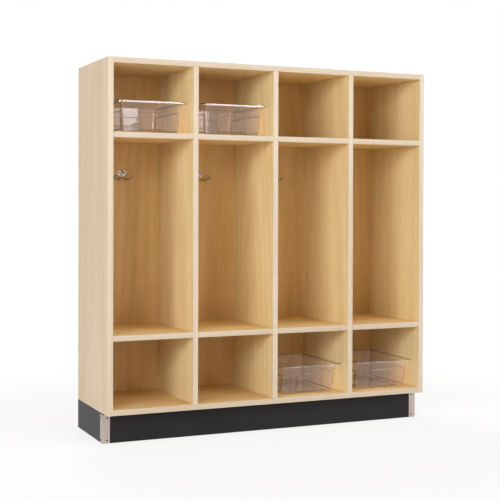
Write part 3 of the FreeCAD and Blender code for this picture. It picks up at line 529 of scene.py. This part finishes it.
@dataclass
class Finishes:
    """Every finish of the locker, made once."""

    # The outer, inner, level and back veneers are one maple. The inner, level and back tones are more
    # golden and saturated than the outer one, most of all the back: painted bounced light and painted
    # shade from inside the bays
    veneer_outer: MapleVeneer = MapleVeneer("maple_veneer_outer", Grain.UPRIGHT)
    veneer_inner: MapleVeneer = MapleVeneer(
        "maple_veneer_inner", Grain.UPRIGHT, "#ECD8A7", "#E6CE9C", "#DEC38C"
    )
    veneer_level: MapleVeneer = MapleVeneer(
        "maple_veneer_level",
        Grain.LEVEL,
        "#EACB90",
        "#E5C186",
        "#DCB77A",
        roughness=0.58,
        coat=0.06,
        sheen=0.3,
    )
    # The back's deepest, most saturated tone is painted shade from the far end of the bays
    veneer_back: MapleVeneer = MapleVeneer(
        "maple_veneer_back",
        Grain.UPRIGHT,
        "#E5C083",
        "#DFB878",
        "#D8AE6D",
        roughness=0.46,
        coat=0.2,
        fleck="#C08F5A",
    )
    strip_upright: MapleVeneer = MapleVeneer(
        "maple_strip_upright", Grain.UPRIGHT, "#D2C0AA", "#CDBBA2", "#C7B298", roughness=0.42, coat=0.2
    )
    strip_level: MapleVeneer = MapleVeneer(
        "maple_strip_level", Grain.LEVEL, "#CBBAA4", "#C6B49C", "#C1AC93", roughness=0.42, coat=0.2
    )
    # The hidden woods are raw, with the same figure in their own colours
    rail_wood: MapleVeneer = MapleVeneer(
        "raw_plywood", Grain.LEVEL, "#D9BE94", "#CDAE80", "#B99669", roughness=0.7, coat=0.0
    )
    dowel_wood: MapleVeneer = MapleVeneer(
        "turned_beech", Grain.LEVEL, "#DDB98A", "#D0A878", "#BE9363", roughness=0.65, coat=0.0
    )
    cover: CalenderedVinyl = CalenderedVinyl()
    guard: BrushedMetal = BrushedMetal("satin_aluminium", "#BFB2A9", "#AFA299", roughness=0.42)
    nickel: BrushedMetal = BrushedMetal(
        "bright_nickel",
        "#C4BEB6",
        "#B3ACA3",
        roughness=0.2,
        roughness_spread=0.04,
        line_width_mm=6.0,
        line_length_mm=12.0,
    )
    zinc: BrushedMetal = BrushedMetal(
        "zinc_steel",
        "#A9A7A5",
        "#8F8D8B",
        roughness=0.34,
        roughness_spread=0.08,
        line_width_mm=1.5,
        line_length_mm=1.5,
    )
    dark_zinc: BrushedMetal = BrushedMetal(
        "dark_zinc_steel",
        "#5A5654",
        "#474341",
        roughness=0.4,
        roughness_spread=0.08,
        line_width_mm=1.5,
        line_length_mm=1.5,
    )
    styrene: ClearStyrene = ClearStyrene()

    def __post_init__(self) -> None:
        """Build each material and keep it by the finish's own name."""
        self.made: dict[str, bpy.types.Material] = {}
        for entry in fields(self):
            finish = getattr(self, entry.name)
            self.made[finish.name] = finish.build()

    def dress(self, piece: bpy.types.Object, finish: Finish) -> None:
        """Put a finish on a piece.

        Args:
            piece: A CAD node or a new piece.
            finish: One of this class's finishes.
        """
        material = self.made[finish.name]
        if not piece.material_slots:
            piece.data.materials.append(material)
        for slot in piece.material_slots:
            slot.material = material
        LOG.info("%s: %s", piece.name, finish.name)


def merged_copy(node: bpy.types.Object) -> bmesh.types.BMesh:
    """Copy a CAD node's mesh and join its loose triangles.

    Args:
        node: The CAD node, which is left as it is.

    Returns:
        The joined copy.
    """
    shape = bmesh.new()
    shape.from_mesh(node.data)
    bmesh.ops.remove_doubles(shape, verts=shape.verts, dist=WELD_M)
    return shape


def take_place(
    shape: bmesh.types.BMesh, name: str, body: str, node: str
) -> bpy.types.Object:
    """Turn a shape into a piece that is shown in place of a CAD node.

    Args:
        shape: The finished shape, which is freed.
        name: The new piece's name.
        body: The body that it moves with.
        node: The CAD node that it replaces.

    Returns:
        The new piece.
    """
    bmesh.ops.recalc_face_normals(shape, faces=shape.faces)
    mesh = bpy.data.meshes.new(name)
    shape.to_mesh(mesh)
    shape.free()
    mesh.shade_smooth()
    mesh.set_sharp_from_angle(angle=math.radians(CREASE_DEG))
    piece = bpy.data.objects.new(name, mesh)
    bpy.context.scene.collection.objects.link(piece)
    # Large flat faces keep their own normals and the rounds beside them take up the turn
    piece.modifiers.new("flat_stays_flat", "WEIGHTED_NORMAL").keep_sharp = True
    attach(piece, body)
    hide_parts(node)
    return piece


@dataclass(frozen=True)
class ScrewFit:
    """Where one plain CAD screw is and how large it is, in metres."""

    seat: Vector
    outward: Vector
    head_radius: float
    head_height: float
    shank_radius: float
    length: float

    @classmethod
    def measure(cls, points: list[Vector]) -> ScrewFit:
        """Read a screw from its points; a countersunk head has no height above its seat.

        Args:
            points: Every point of one screw, which runs along an axis.

        Returns:
            Its place and sizes.
        """
        low = Vector([min(point[axis] for point in points) for axis in range(3)])
        high = Vector([max(point[axis] for point in points) for axis in range(3)])
        along = max(range(3), key=lambda axis: high[axis] - low[axis])
        middle = (low + high) / 2
        # The radius of the screw at each level that has points
        reach: dict[float, float] = {}
        for point in points:
            off = point - middle
            off[along] = 0.0
            level = round(point[along], RING_DECIMALS)
            reach[level] = max(reach.get(level, 0.0), off.length)
        widest = max(reach, key=reach.get)
        ends = (min(reach), max(reach))
        top = min(ends, key=lambda end: abs(end - widest))
        tip = max(ends, key=lambda end: abs(end - widest))
        outward = Vector((0.0, 0.0, 0.0))
        outward[along] = math.copysign(1.0, top - tip)
        seat = middle.copy()
        seat[along] = widest
        return cls(seat, outward, reach[widest], abs(top - widest), reach[tip], abs(widest - tip))


@dataclass
class CrossHeadScrews:
    """Screws with a cross-shaped drive recess, put where a CAD node has plain ones."""

    node: bpy.types.Object
    # The head's top is a grid of this many cells each way
    cells: int = 7
    # Shares of the top's radius
    recess_depth: float = 0.35
    crown: float = 0.1
    # The recess floor's share of the recess mouth
    recess_taper: float = 0.8
    # Where a raised head bends over: shares of its radius and of its height
    shoulder: float = 0.95
    shoulder_height: float = 0.5
    # The radius of the point's end and the point's length, in shank radii
    point: float = 0.3
    point_length: float = 2.0
    # Each drive stops at another angle
    turn_deg: float = 37.0

    def islands(self) -> list[list[Vector]]:
        """List the points of each separate screw in the CAD node.

        Returns:
            A list of points for each screw.
        """
        shape = merged_copy(self.node)
        reached: set[bmesh.types.BMVert] = set()
        found = []
        # The mesh's own order of points gives each screw the same number in every run
        for start in shape.verts:
            if start in reached:
                continue
            reached.add(start)
            front = [start]
            group = []
            while front:
                vert = front.pop()
                group.append(vert.co.copy())
                near = {edge.other_vert(vert) for edge in vert.link_edges} - reached
                reached |= near
                front.extend(near)
            found.append(group)
        shape.free()
        return found

    def head_top(
        self, shape: bmesh.types.BMesh, radius: float, height: float
    ) -> list[bmesh.types.BMEdge]:
        """Make a head's round top with its recess.

        Args:
            shape: An empty shape.
            radius: The top's radius.
            height: Its height above the seat.

        Returns:
            The edges of its rim.
        """
        bmesh.ops.create_grid(shape, x_segments=self.cells, y_segments=self.cells, size=1.0)
        # The middle rows make the cross, and its arms stop one cell short of the rim
        arm = 1.0 / self.cells
        reach = 1.0 - 2.0 * arm
        cross = []
        for face in shape.faces:
            x, y = (abs(value) for value in face.calc_center_median().xy)
            if min(x, y) < arm and max(x, y) < reach:
                cross.append(face)
        sunk = bmesh.ops.extrude_face_region(shape, geom=cross)["geom"]
        floor = [item for item in sunk if isinstance(item, bmesh.types.BMVert)]
        bmesh.ops.scale(shape, verts=floor, vec=(self.recess_taper, self.recess_taper, 1.0))
        bmesh.ops.translate(shape, verts=floor, vec=(0.0, 0.0, -self.recess_depth))
        # The square grid is drawn in to a disc and crowned
        for vert in shape.verts:
            x, y, z = vert.co
            round_x = x * math.sqrt(1.0 - y * y / 2.0)
            round_y = y * math.sqrt(1.0 - x * x / 2.0)
            rise = self.crown * (1.0 - round_x * round_x - round_y * round_y)
            vert.co = (round_x * radius, round_y * radius, height + (z - self.crown + rise) * radius)
        return [edge for edge in shape.edges if edge.is_boundary]

    def ring(
        self, shape: bmesh.types.BMesh, rim: list[bmesh.types.BMEdge], radius: float, height: float
    ) -> list[bmesh.types.BMEdge]:
        """Draw a round rim on to another radius and height.

        Args:
            shape: The screw so far.
            rim: Its open edges.
            radius: The new rim's radius.
            height: The new rim's height above the seat.

        Returns:
            The new rim's edges.
        """
        made = bmesh.ops.extrude_edge_only(shape, edges=rim)["geom"]
        for vert in (item for item in made if isinstance(item, bmesh.types.BMVert)):
            out = vert.co.xy.normalized() * radius
            vert.co = (out.x, out.y, height)
        return [item for item in made if isinstance(item, bmesh.types.BMEdge) and item.is_boundary]

    def screw(self, fit: ScrewFit, index: int) -> bpy.types.Mesh:
        """Make one screw in its place.

        Args:
            fit: Where it is and how large.
            index: Its number in the group.

        Returns:
            The screw's mesh.
        """
        shape = bmesh.new()
        outline = []
        if fit.head_height > WELD_M:
            bend = fit.head_height * self.shoulder_height
            top_radius = fit.head_radius - bend
            outline.append((fit.head_radius * self.shoulder, bend))
            outline.append((fit.head_radius, 0.0))
            outline.append((fit.shank_radius, 0.0))
        else:
            top_radius = fit.head_radius
            outline.append((fit.shank_radius, fit.shank_radius - fit.head_radius))
        outline.append((fit.shank_radius, self.point_length * fit.shank_radius - fit.length))
        outline.append((fit.shank_radius * self.point, -fit.length))
        rim = self.head_top(shape, top_radius, fit.head_height)
        for radius, height in outline:
            rim = self.ring(shape, rim, radius, height)
        bmesh.ops.contextual_create(shape, geom=rim)
        turn = Matrix.Rotation(math.radians(self.turn_deg * index), 4, "Z")
        stand = Vector((0.0, 0.0, 1.0)).rotation_difference(fit.outward).to_matrix().to_4x4()
        shape.transform(Matrix.Translation(fit.seat) @ stand @ turn)
        mesh = bpy.data.meshes.new("screw")
        shape.to_mesh(mesh)
        shape.free()
        return mesh

    def build(self) -> bpy.types.Object:
        """Make all the screws of the node as one piece.

        Returns:
            The piece shown in the node's place.
        """
        shape = bmesh.new()
        for index, points in enumerate(self.islands()):
            mesh = self.screw(ScrewFit.measure(points), index)
            shape.from_mesh(mesh)
            bpy.data.meshes.remove(mesh)
        return take_place(shape, f"{self.node.name}_driven", "locker", self.node.name)


@dataclass
class Carcase:
    """The boards of the locker and the strips on their front edges."""

    nodes: Mapping[str, bpy.types.Object]
    uprights: tuple[str, ...] = ("right_side_panel", "divider_1", "divider_2", "divider_3")
    levels: tuple[str, ...] = ("top_panel", "bottom_panel")
    shelf_levels: tuple[str, ...] = ("upper", "lower")
    columns: int = 4

    def dress(self, finishes: Finishes) -> None:
        """Give each board and strip maple with its grain along its length.

        Args:
            finishes: The locker's finishes.
        """
        columns = range(1, self.columns + 1)
        shelves = [f"{level}_shelf_{column}" for level in self.shelf_levels for column in columns]
        finishes.dress(self.nodes["left_side_panel"], finishes.veneer_outer)
        for name in self.uprights:
            finishes.dress(self.nodes[name], finishes.veneer_inner)
        finishes.dress(self.nodes["back_panel"], finishes.veneer_back)
        for name in (*self.levels, *shelves):
            finishes.dress(self.nodes[name], finishes.veneer_level)
        for name, node in self.nodes.items():
            if name.endswith("_edge_band"):
                upright = name.startswith(("left", "right", "divider"))
                finishes.dress(node, finishes.strip_upright if upright else finishes.strip_level)
        finishes.dress(self.nodes["carcase_dowels"], finishes.dowel_wood)
        finishes.dress(CrossHeadScrews(self.nodes["back_screws"]).build(), finishes.zinc)


@dataclass
class Base:
    """The recessed base: rails, cleats, black covers and metal corner guards."""

    nodes: Mapping[str, bpy.types.Object]

    def dress(self, finishes: Finishes) -> None:
        """Give each piece of the base its finish.

        Args:
            finishes: The locker's finishes.
        """
        for name, node in self.nodes.items():
            if name.startswith("base_") and name.endswith("_cover"):
                finishes.dress(node, finishes.cover)
            elif name.endswith("_corner_guard"):
                finishes.dress(node, finishes.guard)
            elif name == "corner_guard_screws":
                finishes.dress(CrossHeadScrews(node).build(), finishes.dark_zinc)
            elif name == "base_cleat_screws":
                finishes.dress(CrossHeadScrews(node).build(), finishes.zinc)
            elif name == "base_dowels":
                finishes.dress(node, finishes.dowel_wood)
            elif name.startswith("base_"):
                finishes.dress(node, finishes.rail_wood)


@dataclass
class Hooks:
    """The cast coat hooks and their screws."""

    nodes: Mapping[str, bpy.types.Object]
    count: int = 4

    def dress(self, finishes: Finishes) -> None:
        """Give the hooks bright nickel and their screws dark zinc.

        Args:
            finishes: The locker's finishes.
        """
        for index in range(1, self.count + 1):
            finishes.dress(self.nodes[f"hook_{index}"], finishes.nickel)
        finishes.dress(CrossHeadScrews(self.nodes["hook_screws"]).build(), finishes.dark_zinc)


@dataclass
class Bins:
    """The clear moulded bins, with the pressed panels' edges eased as a mould leaves them."""

    nodes: Mapping[str, bpy.types.Object]
    count: int = 4
    # Faces that meet at less than the first angle are one, and edges over the second are eased
    flat_deg: float = 0.5
    sharp_deg: float = 60.0
    ease_mm: float = 0.95
    ease_segments: int = 3

    def ease(self, name: str) -> bpy.types.Object:
        """Make a copy of a bin with its sharp edges rounded.

        Args:
            name: The bin's node, which is also its body.

        Returns:
            The piece shown in its place.
        """
        shape = merged_copy(self.nodes[name])
        flat = math.radians(self.flat_deg)
        steep = math.radians(self.sharp_deg)
        bmesh.ops.dissolve_limit(shape, angle_limit=flat, verts=shape.verts, edges=shape.edges)
        sharp = [edge for edge in shape.edges if edge.calc_face_angle(0.0) > steep]
        bmesh.ops.bevel(
            shape,
            geom=sharp,
            offset=self.ease_mm * MM,
            offset_type="OFFSET",
            segments=self.ease_segments,
            profile=0.5,
            affect="EDGES",
            material=-1,
        )
        return take_place(shape, f"{name}_eased", name, name)

    def dress(self, finishes: Finishes) -> None:
        """Ease the bins and give them clear styrene.

        Args:
            finishes: The locker's finishes.
        """
        for index in range(1, self.count + 1):
            finishes.dress(self.ease(f"bin_{index}"), finishes.styrene)


def looked_at(tree: bpy.types.NodeTree) -> bpy.types.NodeSocket:
    """Tell the rays of the camera, of mirrors and of clear walls from those that carry light.

    Args:
        tree: The material's or the world's node tree.

    Returns:
        A socket that is 1 for the first kind of ray and 0 for the other.
    """
    path = add_node(tree, "ShaderNodeLightPath").outputs
    seen = path["Is Camera Ray"]
    for kind in ("Is Glossy Ray", "Is Transmission Ray"):
        either = add_node(tree, "ShaderNodeMath", {0: seen, 1: path[kind]}, operation="MAXIMUM")
        seen = either.outputs["Value"]
    return seen


@dataclass(frozen=True)
class Softbox:
    """A flat lamp on a circle round the locker; azimuth 0 is in front of it and grows to the right."""

    name: str
    azimuth_deg: float
    elevation_deg: float
    power_w: float
    reach_m: float = 6.0
    width_m: float = 1.6
    height_m: float = 1.6

    def hang(self, target: Vector) -> None:
        """Add the lamp, turned to a target.

        Args:
            target: What it points at, in metres.
        """
        azimuth = math.radians(self.azimuth_deg)
        elevation = math.radians(self.elevation_deg)
        level = math.cos(elevation)
        away = Vector((level * math.sin(azimuth), -level * math.cos(azimuth), math.sin(elevation)))
        data = bpy.data.lights.new(self.name, "AREA")
        data.shape = "RECTANGLE"
        data.size = self.width_m
        data.size_y = self.height_m
        data.energy = self.power_w
        lamp = bpy.data.objects.new(self.name, data)
        lamp.location = target + away * self.reach_m
        lamp.rotation_euler = (-away).to_track_quat("-Z", "Y").to_euler()
        bpy.context.scene.collection.objects.link(lamp)


@dataclass
class Studio:
    """A pale floor, a white surround and soft lamps."""

    floor_size_m: float = 40.0
    floor_colour: str = "#F4F3F1"
    floor_roughness: float = 0.8
    # Up to shadow_m from the middle the seen floor has this share of plain white, and the rest
    # takes shadow; from white_m on it is all white
    shadow_m: float = 0.9
    white_m: float = 1.7
    shadow_white: float = 0.8
    # How strong the surround is as light
    surround_fill: float = 0.1
    target_m: tuple[float, float, float] = (0.0, 0.0, 0.65)
    lamps: tuple[Softbox, ...] = (
        Softbox("left_softbox", -55.0, 12.0, 122.0),
        Softbox("left_front_softbox", -38.0, 16.0, 91.0),
        Softbox("right_front_softbox", 20.0, 20.0, 35.0),
        Softbox("high_right_softbox", 35.0, 30.0, 78.0),
        Softbox("right_softbox", 65.0, 10.0, 75.0),
        Softbox("top_softbox", 0.0, 80.0, 60.0),
        Softbox("rear_softbox", 180.0, 50.0, 140.0),
        # Narrow strips that the bins' rims and upright corners mirror
        Softbox("rim_strip", 17.0, 9.7, 12.0, reach_m=6.15, width_m=1.7, height_m=0.2),
        Softbox("corner_strip", -40.0, 1.0, 12.0, width_m=1.2, height_m=0.3),
    )

    def build(self) -> None:
        """Make the floor, the surround and the lamps."""
        self.build_floor()
        self.build_surround()
        for lamp in self.lamps:
            lamp.hang(Vector(self.target_m))
            LOG.info("%s: %s W", lamp.name, lamp.power_w)

    def build_floor(self) -> None:
        """Make the floor: white where it is seen far away, a pale board with shadow near the locker."""
        shape = bmesh.new()
        bmesh.ops.create_grid(shape, x_segments=1, y_segments=1, size=self.floor_size_m / 2)
        mesh = bpy.data.meshes.new("floor")
        shape.to_mesh(mesh)
        shape.free()
        floor = bpy.data.objects.new("floor", mesh)
        bpy.context.scene.collection.objects.link(floor)
        material, tree = new_tree("pale_floor")
        paint = add_node(
            tree,
            "ShaderNodeBsdfPrincipled",
            {"Base Color": linear(self.floor_colour), "Roughness": self.floor_roughness},
        )
        white = add_node(tree, "ShaderNodeEmission", {"Color": WHITE, "Strength": 1.0})
        place = add_node(tree, "ShaderNodeTexCoord").outputs["Object"]
        reach = add_node(tree, "ShaderNodeVectorMath", {0: place}, operation="LENGTH")
        fade = add_node(
            tree,
            "ShaderNodeMapRange",
            {
                "Value": reach.outputs["Value"],
                "From Min": self.shadow_m,
                "From Max": self.white_m,
                "To Min": self.shadow_white,
                "To Max": 1.0,
            },
            interpolation_type="SMOOTHSTEP",
        )
        seen = add_node(
            tree,
            "ShaderNodeMath",
            {0: fade.outputs["Result"], 1: looked_at(tree)},
            operation="MULTIPLY",
        )
        mixed = add_node(
            tree,
            "ShaderNodeMixShader",
            {0: seen.outputs["Value"], 1: paint.outputs["BSDF"], 2: white.outputs["Emission"]},
        )
        add_node(tree, "ShaderNodeOutputMaterial", {"Surface": mixed.outputs["Shader"]})
        mesh.materials.append(material)

    def build_surround(self) -> None:
        """Make the world: white where it is seen, mirrored or looked through, and dimmer as light."""
        world = bpy.data.worlds.new("surround")
        world.use_nodes = True
        tree = world.node_tree
        tree.nodes.clear()
        strength = add_node(
            tree,
            "ShaderNodeMapRange",
            {"Value": looked_at(tree), "To Min": self.surround_fill, "To Max": 1.0},
        )
        white = add_node(
            tree,
            "ShaderNodeBackground",
            {"Color": WHITE, "Strength": strength.outputs["Result"]},
        )
        add_node(tree, "ShaderNodeOutputWorld", {"Surface": white.outputs["Background"]})
        bpy.context.scene.world = world


@dataclass
class PhotoCamera:
    """The camera that took the photograph, as fitted to the locker's edges."""

    image_px: float = 500.0
    focal_px: float = 1140.9
    centre_px: tuple[float, float] = (286.13, 214.71)
    yaw_deg: float = 24.9156
    pitch_deg: float = 0.5465
    roll_deg: float = 0.191
    place_m: tuple[float, float, float] = (-1.66476, -3.86142, 0.80921)
    sensor_mm: float = 36.0
    far_m: float = 100.0

    def build(self) -> None:
        """Make the camera and set it as the scene's."""
        yaw = math.radians(self.yaw_deg)
        pitch = math.radians(self.pitch_deg)
        roll = math.radians(self.roll_deg)
        ahead = math.cos(pitch)
        forward = Vector((math.sin(yaw) * ahead, math.cos(yaw) * ahead, -math.sin(pitch)))
        level = Vector((math.cos(yaw), -math.sin(yaw), 0.0))
        upward = level.cross(forward)
        right = math.cos(roll) * level + math.sin(roll) * upward
        up = -math.sin(roll) * level + math.cos(roll) * upward
        data = bpy.data.cameras.new("photo_camera")
        data.sensor_width = self.sensor_mm
        data.lens = self.focal_px / self.image_px * self.sensor_mm
        data.shift_x = (self.image_px / 2 - self.centre_px[0]) / self.image_px
        data.shift_y = (self.centre_px[1] - self.image_px / 2) / self.image_px
        data.clip_end = self.far_m
        camera = bpy.data.objects.new("photo_camera", data)
        turn = Matrix((right, up, -forward)).transposed().to_4x4()
        camera.matrix_world = Matrix.Translation(self.place_m) @ turn
        bpy.context.scene.collection.objects.link(camera)
        bpy.context.scene.camera = camera


def main() -> None:
    """Load the frame, dress each sub-assembly and set up the studio."""
    logging.basicConfig(level=logging.INFO, format="%(name)s %(message)s")
    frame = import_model()
    bpy.context.scene.view_settings.view_transform = "Standard"
    finishes = Finishes()
    for part in (Carcase, Base, Hooks, Bins):
        part(frame["nodes"]).dress(finishes)
    Studio().build()
    PhotoCamera().build()


if __name__ == "__main__":
    main()
